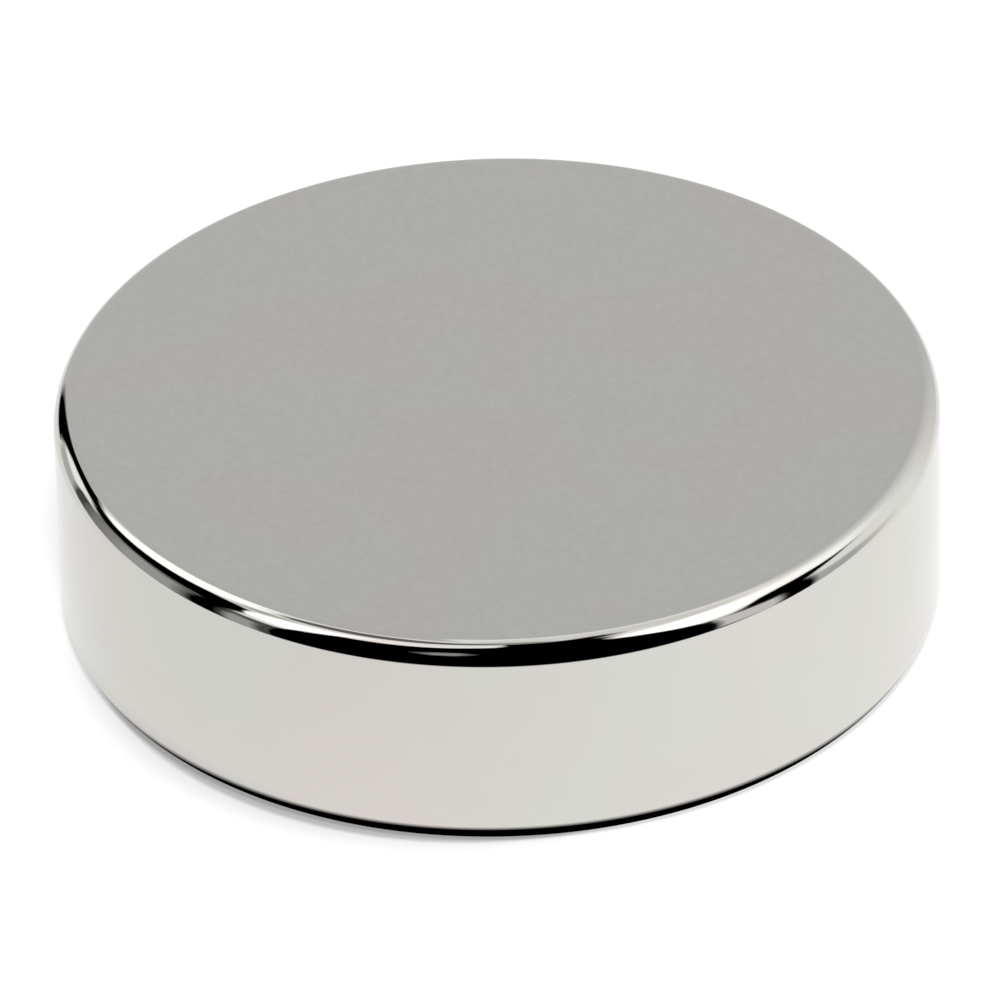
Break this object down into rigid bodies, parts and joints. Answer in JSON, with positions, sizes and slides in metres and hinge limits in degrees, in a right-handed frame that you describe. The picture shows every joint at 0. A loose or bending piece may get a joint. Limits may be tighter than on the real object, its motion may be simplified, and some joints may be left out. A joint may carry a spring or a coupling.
{
  "type": "disc magnet",
  "caption": "Solid flat disc magnet with plain ground pole faces, a straight side wall and small rounded edges, finished in bright nickel plate.",
  "frame": {"origin": "centre of the lower pole face, which is the face that the disc rests on", "axes": "+Z along the disc's axis, out of the upper pole face; X and Y lie in the lower pole face, and their direction round the axis is free"},
  "size_m": [0.03, 0.03, 0.008],
  "materials": {
    "nickel_plating": "bright nickel plate: fine satin grain on the pole faces, mirror bright on the side wall and rounded edges"
  },
  "bodies": {
    "root": {"disc_magnet": "nickel_plating"}
  },
  "joints": []
}
